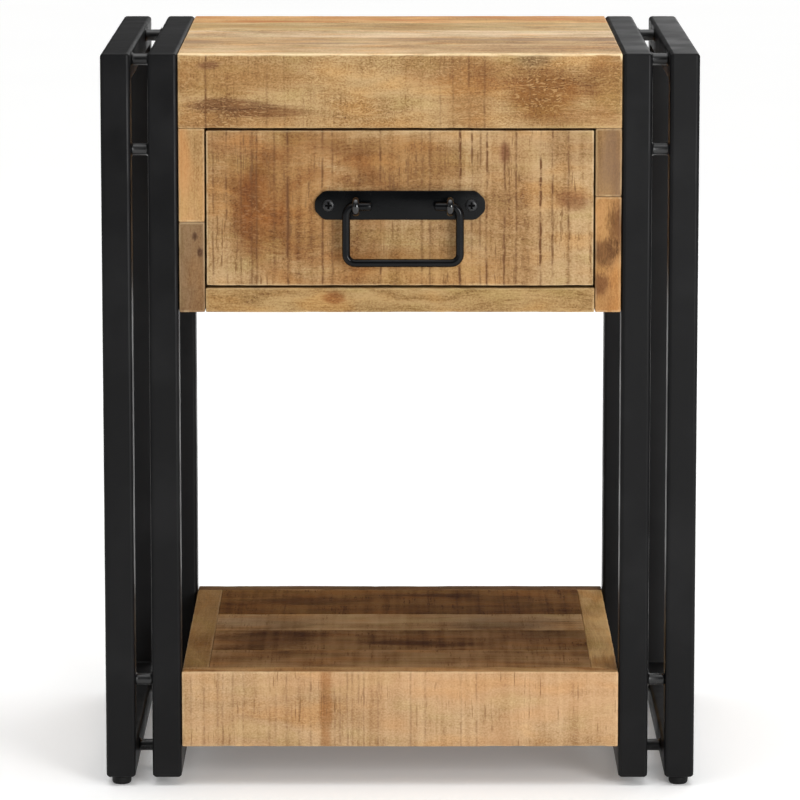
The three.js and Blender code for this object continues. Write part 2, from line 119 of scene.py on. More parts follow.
def skin(rings, sides, closed=False):
    """Faces between rings of points. Closed also joins the last ring to the first."""
    faces = []
    for ring in range(rings if closed else rings - 1):
        this, following = ring * sides, (ring + 1) % rings * sides
        for index in range(sides):
            after = (index + 1) % sides
            faces.append((this + index, this + after, following + after, following + index))
    return faces


def ends(rings, sides):
    """The faces that close the first and the last ring."""
    last = (rings - 1) * sides
    return [tuple(range(sides)), tuple(range(last, last + sides))]


def smooth(piece, degrees):
    """Smooth shading, with edges sharper than the angle kept crisp."""
    mesh = piece.data
    mesh.polygons.foreach_set("use_smooth", [True] * len(mesh.polygons))
    mesh.set_sharp_from_angle(angle=math.radians(degrees))
    mesh.update()


def sharper_than(degrees):
    """Whether an edge between two faces turns by more than an angle."""
    return lambda edge: edge.calc_face_angle(0) > math.radians(degrees)


def bevel(piece, chosen, width, segments, clamp=False):
    """Rounds the chosen edges of a piece. Clamp keeps the bevels from running into each other."""
    build = bmesh.new()
    build.from_mesh(piece.data)
    edges = [edge for edge in build.edges if chosen(edge)]
    bmesh.ops.bevel(build, geom=edges, offset=width, segments=segments, profile=0.5, affect="EDGES",
                    clamp_overlap=clamp)
    build.to_mesh(piece.data)
    build.free()


def store_wear_and_highlight(piece, values):
    """How worn each point is and how much painted highlight it takes, from 0 to 1, for the materials to
    read.
    """
    attribute = piece.data.attributes.new("wear", "FLOAT", "POINT")
    attribute.data.foreach_set("value", np.asarray(values, np.float32))


def rounded_outline(corners, radii, step, skirt=SKIRT):
    """Points, normals and edge wear round a polygon of [a, b] corners, its right angles rounded off;
    the rounded edges' values also carry the painted edge highlight.
    """
    rows = []
    count = len(corners)
    corners = [np.array(c, float) for c in corners]
    for index, corner in enumerate(corners):
        before = corners[index - 1] - corner
        after = corners[(index + 1) % count] - corner
        before_length, after_length = np.linalg.norm(before), np.linalg.norm(after)
        before, after = before / before_length, after / after_length
        radius = radii[index]
        if radius > 0:
            centre = corner + (before + after) * radius
            rows.append((centre - after * radius + before * skirt, 0.0))
            for turn in np.linspace(0, QUARTER_TURN, ARC_STEPS + 1):
                out = after * math.cos(turn) + before * math.sin(turn)
                rows.append((centre - out * radius, 0.75 + 0.25 * math.sin(2 * turn)))
            rows.append((centre - before * radius + after * skirt, 0.0))
        else:
            rows.append((corner, 0.0))
        room = after_length - radius - radii[(index + 1) % count]
        start = rows[-1][0]
        end = corners[(index + 1) % count] - after * (radii[(index + 1) % count] + skirt)
        pieces = max(1, round(room / step))
        for share in np.arange(1, pieces) / pieces:
            rows.append((start + (end - start) * share, 0.0))
    points = np.array([row[0] for row in rows])
    wear = np.array([row[1] for row in rows])
    ahead = np.roll(points, -1, axis=0) - np.roll(points, 1, axis=0)
    normals = np.stack([ahead[:, 1], -ahead[:, 0]], axis=1)
    normals /= np.linalg.norm(normals, axis=1)[:, None]
    area = np.sum(points[:, 0] * np.roll(points[:, 1], -1) - np.roll(points[:, 0], -1) * points[:, 1])
    return points, normals * np.sign(area), wear


def sweep(outline, start, end, grain, end_radius, step, seed, wobble, dents):
    """A board: an outline swept along its grain, with rounded ends, a slight wobble and worn edges."""
    points, normals, wear = outline
    turns = np.linspace(0, QUARTER_TURN, 4)
    inset = 0.8 * end_radius * (1 - np.sin(turns))
    offset = end_radius * (1 - np.cos(turns))
    skirt = end_radius + SKIRT
    inner = np.linspace(start + skirt, end - skirt, max(2, round((end - start) / step)))
    places = np.concatenate([start + offset, inner, (end - offset)[::-1]])
    insets = np.concatenate([inset, np.zeros(len(inner)), inset[::-1]])
    at_end = np.concatenate([np.ones(len(offset)), np.zeros(len(inner)), np.ones(len(offset))])
    rows, columns = len(places), len(points)
    axes = [grain, (grain + 1) % 3, (grain + 2) % 3]
    grid = np.zeros((rows, columns, 3))
    outward = np.zeros((rows, columns, 3))
    grid[:, :, axes[0]] = places[:, None]
    for column, axis in enumerate(axes[1:]):
        grid[:, :, axis] = points[None, :, column] - insets[:, None] * normals[None, :, column]
        outward[:, :, axis] = normals[None, :, column]
    grid, outward = grid.reshape(-1, 3), outward.reshape(-1, 3)
    worn_and_lit = np.maximum(wear[None, :], at_end[:, None]).ravel()
    calm = np.repeat(1 - insets / end_radius, columns)
    swell = wobble * (wander(grid, 70 * MM, seed) + 0.4 * wander(grid, 19 * MM, seed + 1))
    hollows = wander(grid, 9 * MM, seed + 2) + 0.5 * wander(grid, 23 * MM, seed + 3)
    nicks = dents * np.clip(hollows, 0, 1)
    grid += outward * ((swell - nicks * worn_and_lit) * calm)[:, None]
    return grid, skin(rows, columns) + ends(rows, columns), worn_and_lit


def board(name, lowest, highest, grain, material, body, slot, stands_for, seed, radius=1.0 * MM,
          wobble=0.15 * MM, dents=0.35 * MM, step=4 * MM):
    """A rounded, slightly uneven board between two corners."""
    a, b = (grain + 1) % 3, (grain + 2) % 3
    corners = [(lowest[a], lowest[b]), (highest[a], lowest[b]),
               (highest[a], highest[b]), (lowest[a], highest[b])]
    outline = rounded_outline(corners, [radius] * 4, step)
    grid, faces, worn_and_lit = sweep(outline, lowest[grain], highest[grain], grain, radius, step, seed,
                              wobble, dents)
    piece = add_piece(name, grid, faces, [material], body, stands_for)
    store_wear_and_highlight(piece, worn_and_lit)
    return piece


# ---------------- material helpers

def linear(hex_colour):
    """A colour written as on screen, such as "c9a06a", in the linear values that shaders use."""
    channels = [int(hex_colour[start:start + 2], 16) / 255 for start in (0, 2, 4)]
    bent = [c / 12.92 if c <= 0.04045 else ((c + 0.055) / 1.055) ** 2.4 for c in channels]
    return (*bent, 1.0)


class Graph:
    """The shader nodes of a material or world. Sockets given as inputs are linked."""

    def __init__(self, owner):
        self.owner = owner
        owner.use_nodes = True
        self.tree = owner.node_tree
        self.tree.nodes.clear()

    def node(self, kind, inputs, out=0, **settings):
        made = self.tree.nodes.new(kind)
        for key, value in settings.items():
            setattr(made, key, value)
        for key, value in inputs.items():
            if isinstance(value, bpy.types.NodeSocket):
                self.tree.links.new(value, made.inputs[key])
            else:
                made.inputs[key].default_value = value
        return made.outputs[out] if made.outputs else None

    def math(self, operation, a, b=0.0, clamp=False):
        return self.node("ShaderNodeMath", {0: a, 1: b}, operation=operation, use_clamp=clamp)

    def add(self, *terms):
        total = terms[0]
        for term in terms[1:]:
            total = self.math("ADD", total, term)
        return total

    def times(self, a, b):
        return self.math("MULTIPLY", a, b)

    def per(self, value, length):
        """A distance counted in lengths."""
        return self.times(value, 1 / length)

    def bell(self, square):
        """1 where the square of a distance is 0, falling off smoothly."""
        return self.math("POWER", math.exp(-1), square)

    def parts(self, vector):
        """The three parts of a vector."""
        split = self.tree.nodes.new("ShaderNodeSeparateXYZ")
        self.tree.links.new(vector, split.inputs[0])
        return list(split.outputs)

    def centred(self, value, amount):
        """A noise value moved to swing about zero, and scaled."""
        return self.times(self.math("SUBTRACT", value, 0.5), amount)

    def point(self, x, y, z):
        return self.node("ShaderNodeCombineXYZ", {0: x, 1: y, 2: z})

    def scaled(self, vector, factor):
        return self.node("ShaderNodeVectorMath", {0: vector, "Scale": factor}, operation="SCALE")

    def millimetres(self):
        """The place on the piece."""
        return self.scaled(self.node("ShaderNodeTexCoord", {}, out="Object"), 1 / MM)

    def noise(self, vector, detail=2.0, roughness=0.5):
        inputs = {"Vector": vector, "Scale": 1.0, "Detail": detail, "Roughness": roughness}
        return self.node("ShaderNodeTexNoise", inputs)

    def ease(self, value, start, end, low_value=0.0, high_value=1.0):
        """A smooth step from start to end."""
        inputs = {"Value": value, "From Min": start, "From Max": end,
                  "To Min": low_value, "To Max": high_value}
        return self.node("ShaderNodeMapRange", inputs, interpolation_type="SMOOTHSTEP")

    def ramp(self, factor, stops):
        made = self.tree.nodes.new("ShaderNodeValToRGB")
        elements = made.color_ramp.elements
        while len(elements) < len(stops):
            elements.new(0.5)
        for element, (place, colour) in zip(elements, stops):
            element.position = place
            element.color = colour
        self.tree.links.new(factor, made.inputs[0])
        return made.outputs[0]

    def mix(self, factor, a, b, blend="MIX"):
        inputs = {0: factor, 6: a, 7: b}
        return self.node("ShaderNodeMix", inputs, out=2, data_type="RGBA", blend_type=blend)

    def finish(self, shader_inputs, height=None, strength=0.3, distance=0.3 * MM):
        if height is not None:
            bump = {"Height": height, "Strength": strength, "Distance": distance}
            shader_inputs["Normal"] = self.node("ShaderNodeBump", bump)
        shader = self.node("ShaderNodeBsdfPrincipled", shader_inputs)
        self.node("ShaderNodeOutputMaterial", {"Surface": shader})
        return self.owner


# ---------------- wood

# pale cream for the rounded edges of boards: partly worn wood, partly painted highlight where an edge
# catches the light
CREAM = linear("f0d8ac")

# sizes in millimetres: across the growth rings and along the grain, where there are two
BAND_SIZE = (6.5, 260)
STREAK_SIZE = (1.8, 60)
PORE_SIZE = (0.4, 3.0)
FIBRE_WIDTH = 0.6
CURL_LENGTH, CURL_WIDTH = 4.6, 1.05
SHEAR_LENGTH = 1.3
SAW_CUT_WIDTH = 0.75


def shades(mean):
    """Light, middle, dark and very dark tones of a wood whose average colour is given."""
    base = linear(mean)
    factors = ((1.38, 1.50, 1.72), (1.06, 1.07, 1.09), (0.74, 0.66, 0.55), (0.36, 0.23, 0.15))
    return [(*(min(c * f, 0.95) for c, f in zip(base, row)), 1.0) for row in factors]


def wood(name, grain, mean, seed, rings=0.8, streak=0.4, fibre=0.45, fibre_length=22, figure=0.6,
         speckle=0.4, saw=0.3, clouds=0.9, warp=10, knots=(), stains=(), arcs=(), lines=(), tint=None,
         wear_and_highlight_strength=0.2, gloss=0.2):
    """Rough-sawn hardwood whose grain runs along one axis. Lengths are in millimetres.

    A knot is (centre, radii, lift, core): the growth rings bulge round it, and core from 0 to 1 is how
    dark its middle is. A stain is (centre, radii, colour, strength) and darkens the wood by its colour.
    An arc is the same, but darkens only a band round its centre. Lines are (place along the grain,
    strength) of deep saw cuts. Places are in the row frame.
    """
    g = Graph(bpy.data.materials.new(name))
    chance = np.random.default_rng(seed)
    world = g.parts(g.millimetres())
    along, across, deep = (g.add(world[(grain + k) % 3], float(chance.uniform(-400, 400)))
                           for k in range(3))

    def stretched(u, v, w):
        """The place counted in lengths along the grain, across it and into the board."""
        return g.point(g.per(along, u), g.per(across, v), g.per(deep, w))

    def closeness(centre, radii):
        """1 at the centre, falling towards 0 beyond the radii."""
        squares = []
        for axis in range(3):
            away = g.per(g.math("SUBTRACT", world[axis], float(centre[axis])), radii[axis])
            squares.append(g.times(away, away))
        return g.bell(g.add(*squares))

    # growth rings round a pith outside the board, bent by slow noise and pushed aside by knots
    pith = [float(chance.uniform(40, 90) * chance.choice([-1, 1])) for _ in range(2)]
    bend = g.centred(g.noise(stretched(90, 34, 34)), 2.0 * warp)
    offsets = [g.math("SUBTRACT", world[(grain + 1 + k) % 3], pith[k]) for k in range(2)]
    ring = g.add(g.math("SQRT", g.add(*(g.times(offset, offset) for offset in offsets))), bend)
    knot_core = 0.0
    for centre, radii, lift, core in knots:
        near = closeness(centre, radii)
        ring = g.add(ring, g.times(near, float(lift)))
        knot_core = g.add(knot_core, g.ease(near, 0.75, 1.0, 0.0, core))
    shear = g.per(g.math("SUBTRACT", across, deep), SHEAR_LENGTH)

    def in_rings(width, length, around):
        """The place counted in widths across the growth rings and lengths along the grain."""
        return g.point(g.per(ring, width), g.per(along, length), around)

    bands = g.noise(in_rings(*BAND_SIZE, 0.0))
    streaks = g.noise(in_rings(*STREAK_SIZE, shear))
    fibres = g.noise(in_rings(FIBRE_WIDTH, fibre_length, shear), 2.0, 0.6)
    broad = g.noise(stretched(60, 34, 34))
    slant = g.centred(g.noise(stretched(20, 12, 12), 1.0), 14.0)
    curl = g.noise(g.point(g.per(along, CURL_LENGTH), g.per(g.add(across, slant), CURL_WIDTH),
                           g.per(g.add(deep, slant), CURL_WIDTH)), 1.5)
    curl_patch = g.ease(g.noise(stretched(34, 26, 26), 1.0), 0.35, 0.65, 0.55, 1.0)
    grit = g.noise(stretched(1.4, 1.2, 1.2), 2.0, 0.6)

    value = g.add(0.5, g.centred(bands, rings), g.centred(streaks, streak), g.centred(fibres, fibre),
                  g.centred(broad, clouds), g.times(g.centred(curl, 0.5 * figure), curl_patch),
                  g.centred(grit, speckle))

    # saw marks across the grain: soft stripes, and thin broken lines inside ragged patches
    stripe = g.noise(stretched(5.5, 150, 150))
    fine = g.noise(stretched(1.5, 34, 34), 2.0, 0.55)
    patches = g.ease(g.noise(stretched(26, 22, 22)), 0.44, 0.62)
    dashes = g.ease(g.noise(stretched(1.3, 6.5, 6.5), 2.0, 0.6), 0.40, 0.60)
    cuts = g.times(g.times(g.ease(fine, 0.52, 0.64), patches), dashes)
    value = g.add(value, g.centred(stripe, 0.75 * saw), g.times(cuts, 0.20 * saw))

    tones = shades(mean)
    flecks = g.times(g.ease(curl, 0.52, 0.66), curl_patch)
    shadows = g.times(g.ease(curl, 0.48, 0.34), curl_patch)
    colour = g.ramp(value, [(0.22, tones[0]), (0.50, tones[1]), (0.74, tones[2]), (1.0, tones[3])])
    colour = g.mix(g.times(flecks, 0.42 * figure), colour, tones[0])
    colour = g.mix(g.times(shadows, 0.30 * figure), colour, tones[2])
    hue = g.noise(stretched(48, 17, 17))
    colour = g.mix(g.ease(hue, 0.48, 0.72), colour, (1.07, 0.96, 0.80, 1), "MULTIPLY")
    colour = g.mix(g.ease(hue, 0.50, 0.30), colour, (0.97, 1.02, 0.93, 1), "MULTIPLY")
    if tint:
        tint_colour, strength = tint
        patch = g.ease(g.noise(stretched(70, 24, 24), 1.0), 0.42, 0.66, 0.0, strength)
        colour = g.mix(patch, colour, linear(tint_colour))
    for centre, radii, stain_colour, strength in stains:
        ragged = g.add(closeness(centre, radii), g.centred(streaks, 0.5), g.centred(curl, 0.5),
                       g.centred(broad, 0.8))
        patch = g.ease(ragged, 0.22, 0.80, 0.0, strength)
        colour = g.mix(patch, colour, linear(stain_colour), "MULTIPLY")
    for centre, radii, arc_colour, strength in arcs:
        ragged = g.add(closeness(centre, radii), g.centred(fine, 0.14), g.centred(curl, 0.10),
                       g.centred(broad, 0.3))
        rising = g.ease(ragged, 0.28, 0.42, 0.0, strength)
        patch = g.times(rising, g.ease(ragged, 0.46, 0.62, 1.0, 0.0))
        colour = g.mix(patch, colour, linear(arc_colour), "MULTIPLY")
    colour = g.mix(g.times(flecks, 0.16 * figure), colour, tones[0])
    if knots:
        colour = g.mix(knot_core, colour, tones[3])
    reddish = g.mix(0.6, tones[2], tones[3])
    colour = g.mix(g.times(cuts, min(0.75 * saw, 0.9)), colour, reddish)
    if lines:
        wobble = g.centred(g.noise(stretched(30, 14, 14), 1.0), 1.6)
        drift = g.add(world[grain], wobble)
        deep_cuts = 0.0
        for start, strength in lines:
            away = g.per(g.math("SUBTRACT", drift, float(start)), SAW_CUT_WIDTH)
            deep_cuts = g.add(deep_cuts, g.times(g.bell(g.times(away, away)), float(strength)))
        broken = g.ease(g.noise(stretched(7, 5.5, 5.5), 3.0, 0.75), 0.36, 0.58, 0.25, 1.0)
        fading = g.ease(g.noise(stretched(8, 30, 30)), 0.36, 0.50, 0.25, 1.1)
        deep_cuts = g.math("MULTIPLY", deep_cuts, g.times(broken, fading), clamp=True)
        colour = g.mix(deep_cuts, colour, tones[3])
    pores = g.ease(g.noise(in_rings(*PORE_SIZE, shear), 1.0), 0.66, 0.78)
    colour = g.mix(g.times(pores, 0.28), colour, tones[3])
    # cream mixed in along rounded edges and board ends: partly wear, partly painted highlight; the
    # strength sets how much
    wear = g.node("ShaderNodeAttribute", {}, out="Fac", attribute_name="wear")
    worn_and_lit = g.times(g.times(wear, wear), g.ease(g.noise(stretched(16, 6, 6)), 0.35, 0.6, 0.3, 1.0))
    colour = g.mix(g.times(worn_and_lit, wear_and_highlight_strength), colour, CREAM)

    height = g.add(g.times(fibres, 0.4), g.times(curl, 0.5 * figure), g.times(grit, speckle),
                   g.times(cuts, -0.7))
    if lines:
        height = g.add(height, g.times(deep_cuts, -1.0))
    roughness = g.ease(curl, 0.3, 0.7, 0.52, 0.70)
    return g.finish({"Base Color": colour, "Roughness": roughness, "Specular IOR Level": gloss},
                    height, 0.5, 0.3 * MM)


def spot(node, width_share, other_share, on_top=False):
    """A place in millimetres on a node's front face, or on its top, from shares of its two sides."""
    lowest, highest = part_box(node)
    size = highest - lowest
    across = lowest.x + size.x * width_share
    if on_top:
        return (across / MM, (lowest.y + size.y * other_share) / MM, highest.z / MM)
    return (across / MM, lowest.y / MM, (lowest.z + size.z * other_share) / MM)


def marks(node, *rows, on_top=False, reach=60):
    """Stains or arcs from rows of two shares of the node's face, two radii on it, colour and strength.
    They reach as deep into the board as given."""
    made = []
    for *shares, wide, other, colour, strength in rows:
        radii = (wide, other, reach) if on_top else (wide, reach, other)
        made.append((spot(node, *shares, on_top), radii, colour, strength))
    return made


def cut_lines(node, rows):
    """Deep saw cuts from rows of a share of the node's width and a strength."""
    return [(spot(node, share, 0)[X], strength) for share, strength in rows]


# ---------------- metals and plastic

def painted_metal(name, colour, roughness, grain_mm, bump, specular):
    """Coated metal with a fine orange-peel surface and a little unevenness in its gloss."""
    g = Graph(bpy.data.materials.new(name))
    place = g.millimetres()

    def cloud(size, detail):
        return g.noise(g.scaled(place, 1 / size), detail)

    peel = cloud(grain_mm, 2.0)
    smudge = cloud(34, 3.0)
    dust = g.ease(cloud(60, 3.0), 0.45, 0.75)
    base = g.mix(g.times(dust, 0.15), linear(colour), linear("303031"))
    shine = g.ease(smudge, 0.3, 0.7, roughness - 0.06, roughness + 0.08)
    inputs = {"Base Color": base, "Roughness": shine, "Specular IOR Level": specular}
    return g.finish(inputs, peel, bump, 0.12 * MM)


powder_black = painted_metal("powder_coat", "0b0b0c", 0.42, 0.9, 0.25, 0.16)
rod_black = painted_metal("rod_coat", "0d0d0e", 0.30, 0.9, 0.20, 0.50)
iron_black = painted_metal("handle_lacquer", "030405", 0.22, 2.2, 0.18, 0.13)
iron_gloss = painted_metal("handle_gloss", "030406", 0.22, 2.2, 0.15, 0.17)
eye_gloss = painted_metal("eye_gloss", "040507", 0.12, 2.2, 0.10, 0.65)
screw_grey = painted_metal("screw_black", "17181a", 0.34, 0.7, 0.35, 0.40)
# near-black, dull coat for the screws' cross recess: painted shade in the recess
recess_painted_shade = painted_metal("recess_painted_shade", "020202", 0.60, 0.7, 0.10, 0.05)
glide_black = painted_metal("glide_plastic", "0b0b0b", 0.55, 0.5, 0.15, 0.25)


# ---------------- steel side frames

TUBE = high("left_outer_front_post").x - low("left_outer_front_post").x
TUBE_RADIUS = 2.5 * MM


def tube_section():
    """Points round a square tube: [sideways, outward] from its middle."""
    half = TUBE / 2
    square = [(-half, -half), (half, -half), (half, half), (-half, half)]
    return rounded_outline(square, [TUBE_RADIUS] * 4, TUBE, skirt=0.02 * MM)[0]


def tube_loop(name):
    """One welded loop of square tube, its four mitres ground smooth and softened."""
    nodes = [f"{name}_{part}" for part in ("front_post", "rear_post", "top_bar", "bottom_bar")]
    lowest = np.min([low(n) for n in nodes], axis=0)
    highest = np.max([high(n) for n in nodes], axis=0)
    middle_x = (lowest[X] + highest[X]) / 2
    section = tube_section()
    half = TUBE / 2
    points = []
    for forward, upward in ((-1, -1), (1, -1), (1, 1), (-1, 1)):
        y = lowest[Y] + half if forward < 0 else highest[Y] - half
        z = lowest[Z] + half if upward < 0 else highest[Z] - half
        for sideways, outward in section:
            points.append((middle_x + sideways, y + forward * outward, z + upward * outward))
    faces = skin(4, len(section), closed=True)
    loop = add_piece(f"{name}_loop", points, faces, [powder_black], "table", nodes)
    bevel(loop, sharper_than(50), width=1.3 * MM, segments=3)
    smooth(loop, BEVELLED_CRISP_ANGLE)


for side in SIDES:
    for which in ("outer", "inner"):
        tube_loop(f"{side}_{which}")


def full_turn(steps):
    """Evenly spaced angles once round."""
    return np.arange(steps) / steps * 2 * math.pi


def lathe(profile, centre, axis):
    """Points and faces of [radius, distance along the axis] turned about an axis through the centre."""
    a, b = (axis + 1) % 3, (axis + 2) % 3
    segments = 32
    points = []
    for radius, distance in profile:
        for turn in full_turn(segments):
            point = np.array(centre, float)
            point[axis] += distance
            point[a] += radius * math.cos(turn)
            point[b] += radius * math.sin(turn)
            points.append(point)
    return np.array(points), skin(len(profile), segments) + ends(len(profile), segments)


def spacer(node, seed):
    """A round rod between two loops, with a small weld fillet at each end."""
    lowest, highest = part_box(node)
    centre = (lowest + highest) / 2
    radius = (highest.z - lowest.z) / 2
    sunk, fillet = 0.35 * MM, 1.7 * MM
    ripple, ripple_length = 0.35 * MM, 2.6 * MM
    half = (highest.x - lowest.x) / 2 + sunk
    curve = [(radius + fillet * (1 - math.sin(t)), fillet * (1 - math.cos(t)))
             for t in np.linspace(0, QUARTER_TURN, 6)]
    left = [(r, -half + d) for r, d in curve]
    right = [(r, half - d) for r, d in reversed(curve)]
    points, faces = lathe(left + right, centre, X)
    bulge = wander(points, ripple_length, seed) * ripple
    near_end = np.clip((np.abs(points[:, 0] - centre.x) - half + fillet) / fillet, 0, 1)
    away = points - np.array(centre)
    away[:, 0] = 0
    away /= np.linalg.norm(away, axis=1)[:, None]
    points += away * (bulge * near_end)[:, None]
    add_piece(f"{node}_welded", points, faces, [rod_black], "table", [node])


SPACER_SPOTS = ("top_front", "top_rear", "front_upper", "front_lower", "rear_upper", "rear_lower",
                "bottom_front", "bottom_rear")
for number, (side, place) in enumerate(itertools.product(SIDES, SPACER_SPOTS)):
    spacer(f"{side}_{place}_spacer", 50 + number)


def glide(node):
    """A domed plastic foot."""
    lowest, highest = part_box(node)
    centre = Vector(((lowest.x + highest.x) / 2, (lowest.y + highest.y) / 2, lowest.z))
    radius = (highest.x - lowest.x) / 2
    top = 5.7 * MM
    flat = 0.73 * radius
    dome_height, top_bevel, stem = 2.5 * MM, 0.5 * MM, 2.4 * MM
    dome = [(flat + (radius - flat) * math.sin(t), dome_height * (1 - math.cos(t)))
            for t in np.linspace(0, QUARTER_TURN, 7)]
    profile = [(flat * 0.5, 0.0), *dome, (radius, top - top_bevel), (radius - top_bevel, top),
               (stem, top), (stem, highest.z - lowest.z)]
    points, faces = lathe(profile, centre, Z)
    add_piece(f"{node}_foot", points, faces, [glide_black], "table", [node])


for side, end in itertools.product(SIDES, ("front", "rear")):
    glide(f"{side}_{end}_glide")


# ---------------- drawer box of planks

GLUE_LINE = 0.15 * MM


def planks(prefix, node, lowest, highest, grain, split_axis, cuts, materials, slot, radius=1.0 * MM):
    """Boards side by side along split_axis between the cuts, together standing for the node."""
    for index, (start, end) in enumerate(zip(cuts[:-1], cuts[1:])):
        plank_low, plank_high = list(lowest), list(highest)
        plank_low[split_axis] = start + GLUE_LINE / 2
        plank_high[split_axis] = end - GLUE_LINE / 2
        board(f"{prefix}_{index + 1}", plank_low, plank_high, grain, materials[index], "table", slot,
              [node], seed=sum(map(ord, prefix)) + 7 * index, radius=radius)


def cuts_between(start, end, *shares):
    return [start + (end - start) * share for share in (0, *shares, 1)]


top_low, top_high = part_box("top_panel")
apron_low, apron_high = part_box("front_apron")
top_cuts = [FRONT + depth * MM for depth in (72, 124, 179, 243)] + [BACK]

apron_stains = marks(
    "front_apron",
    (0.11, 0.32, 40, 5, "b09a8c", 0.95),
    (0.20, 0.22, 34, 5, "bda590", 0.9),
    (0.12, 0.12, 60, 9, "e6d6c4", 0.9),
    (0.07, 0.85, 9, 3.5, "b8a0a0", 0.8),
    (0.10, 0.66, 60, 16, "e0cdb4", 0.9),
    (0.83, 0.42, 32, 20, "ceb088", 1.0),
    (0.72, 0.75, 20, 12, "e4d0b8", 0.8),
    (0.65, 0.50, 24, 36, "dcc8b2", 0.9),
    (0.56, 0.75, 22, 14, "ece0d6", 0.9),
    (0.94, 0.14, 26, 10, "ecdcd0", 0.9),
    (0.97, 0.55, 20, 30, "d4bc9c", 0.9),
    (0.80, 0.97, 14, 8, "c4c2c2", 0.8),
)
APRON_CUTS = ((0.063, 0.9), (0.20, 0.45), (0.24, 0.4), (0.59, 0.4), (0.62, 0.5), (0.655, 0.8),
              (0.69, 0.6))
# the apron and the edge plank take strong edge cream: real wear plus painted highlight along the top
# front edge
apron_wood = wood("apron_wood", X, "a38357", 11, rings=0.6, streak=0.2, fibre=0.1, fibre_length=5,
                  figure=2.6, speckle=1.4, saw=0.6, clouds=0.9, warp=18, stains=apron_stains,
                  lines=cut_lines("front_apron", APRON_CUTS), wear_and_highlight_strength=0.9)
edge_plank_wood = wood("edge_plank_wood", X, "c6a377", 12, rings=0.8, fibre=0.8, fibre_length=28,
                       figure=0.8, speckle=1.0, saw=0.0, wear_and_highlight_strength=0.9)


def apron_with_edge_plank():
    """The apron and the first plank of the top, mitred into one corner, each with its own grain."""
    back_of_plank = top_cuts[0]
    corners = [(FRONT, apron_low.z), (apron_high.y, apron_low.z), (apron_high.y, top_low.z),
               (back_of_plank, top_low.z), (back_of_plank, TABLE_TOP), (FRONT, TABLE_TOP)]
    radius = 1.0 * MM
    outline = rounded_outline(corners, [radius, radius, 0, radius, radius, 1.4 * MM], 4 * MM)
    grid, faces, worn_and_lit = sweep(outline, top_low.x, top_high.x, X, end_radius=radius, step=4 * MM,
                              seed=21, wobble=0.2 * MM, dents=0.5 * MM)
    piece = add_piece("top_front_corner", grid, faces, [edge_plank_wood, apron_wood], "table",
                      ["front_apron", "top_panel"])
    # only the top front edge keeps its full cream, as painted highlight where that edge catches the
    # light from above; the other edges keep about a third
    near = 2.5 * MM
    lit_top_edge = (grid[:, Z] > TABLE_TOP - near) & (grid[:, Y] < FRONT + near)
    store_wear_and_highlight(piece, np.where(lit_top_edge, worn_and_lit, worn_and_lit * 0.35))
    for polygon in piece.data.polygons:
        in_front = polygon.center.y < apron_high.y + MM and polygon.center.z < TABLE_TOP - 0.8 * MM
        polygon.material_index = 1 if in_front else 0


apron_with_edge_plank()

plain_top = {"rings": 1.0, "streak": 0.8, "fibre": 1.2, "fibre_length": 30, "figure": 1.0,
             "speckle": 1.2, "saw": 0.0, "clouds": 0.8}
top_materials = [
    wood("top_wood_2", X, "c19c6e", 13, tint=("8f7664", 0.5), **plain_top),
    wood("top_wood_3", X, "d0b189", 14, **plain_top),
    wood("top_wood_4", X, "c0a070", 15, tint=("b48c54", 0.4), **plain_top),
    wood("top_wood_5", X, "cb9c66", 16, tint=("c37b42", 0.7), **plain_top),
]
planks("top_plank", "top_panel", top_low, top_high, X, Y, top_cuts, top_materials, "top_wood")

plain_board = {"rings": 1.2, "streak": 0.5, "fibre": 0.8, "fibre_length": 50, "figure": 0.3,
               "saw": 0.08}

# each side: two upright face pieces at the front, with planks behind them
FACE_DEPTH = 18 * MM
FACE_GAP = 0.1 * MM
face_joint = {"left": 387 * MM, "right": 404 * MM}
plain_face = {"speckle": 0.9, "saw": 0.0}
face_wood = {
    ("left", "lower"): wood(
        "left_face_lower_wood", Z, "735739", 31, rings=0.6, figure=1.0, clouds=1.0,
        stains=marks("box_left_panel", (0.62, 0.33, 2.4, 4, "a08c80", 1.0),
                     (0.82, 0.26, 2.4, 4, "a08c80", 1.0)), **plain_face),
    ("left", "upper"): wood(
        "left_face_upper_wood", Z, "a07d50", 32, rings=0.5, figure=1.0, clouds=0.9,
        tint=("bd8048", 0.5), **plain_face),
    ("right", "lower"): wood(
        "right_face_lower_wood", Z, "986c3d", 33, rings=1.6, figure=1.0, clouds=1.0, warp=18,
        stains=marks("box_right_panel", (0.95, 0.38, 11, 20, "a8988c", 1.0),
                     (0.40, 0.26, 11, 12, "a29488", 1.0), (0.15, 0.12, 8, 9, "b09e90", 1.0)),
        knots=((spot("box_right_panel", 0.5, 0.28), (11, 60, 16), 14, 0.0),), **plain_face),
    ("right", "upper"): wood(
        "right_face_upper_wood", Z, "87653c", 34, rings=1.2, figure=1.4, clouds=1.4,
        tint=("7a604a", 0.6), **plain_face),
}
for number, side in enumerate(SIDES):
    node = f"box_{side}_panel"
    side_low, side_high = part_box(node)
    joint = face_joint[side]
    halves = (("lower", side_low.z, joint), ("upper", joint, apron_low.z))
    for index, (half, bottom, top) in enumerate(halves):
        lowest = (side_low.x, side_low.y, bottom + FACE_GAP)
        highest = (side_high.x, side_low.y + FACE_DEPTH, top - FACE_GAP)
        board(f"{side}_face_{half}", lowest, highest, Z, face_wood[side, half], "table", "box_wood",
              [node], seed=310 + 10 * number + index)
    tones = ("a57a4c", "b08659", "9c7048")
    materials = [wood(f"{side}_side_wood_{k + 1}", Y, tone, 35 + 10 * number + k, **plain_board)
                 for k, tone in enumerate(tones)]
    lowest = (side_low.x, side_low.y + FACE_DEPTH + GLUE_LINE, side_low.z)
    planks(f"{side}_side_plank", node, lowest, side_high, Y, Z,
           [side_low.z, joint, apron_low.z, side_high.z], materials, "box_wood")

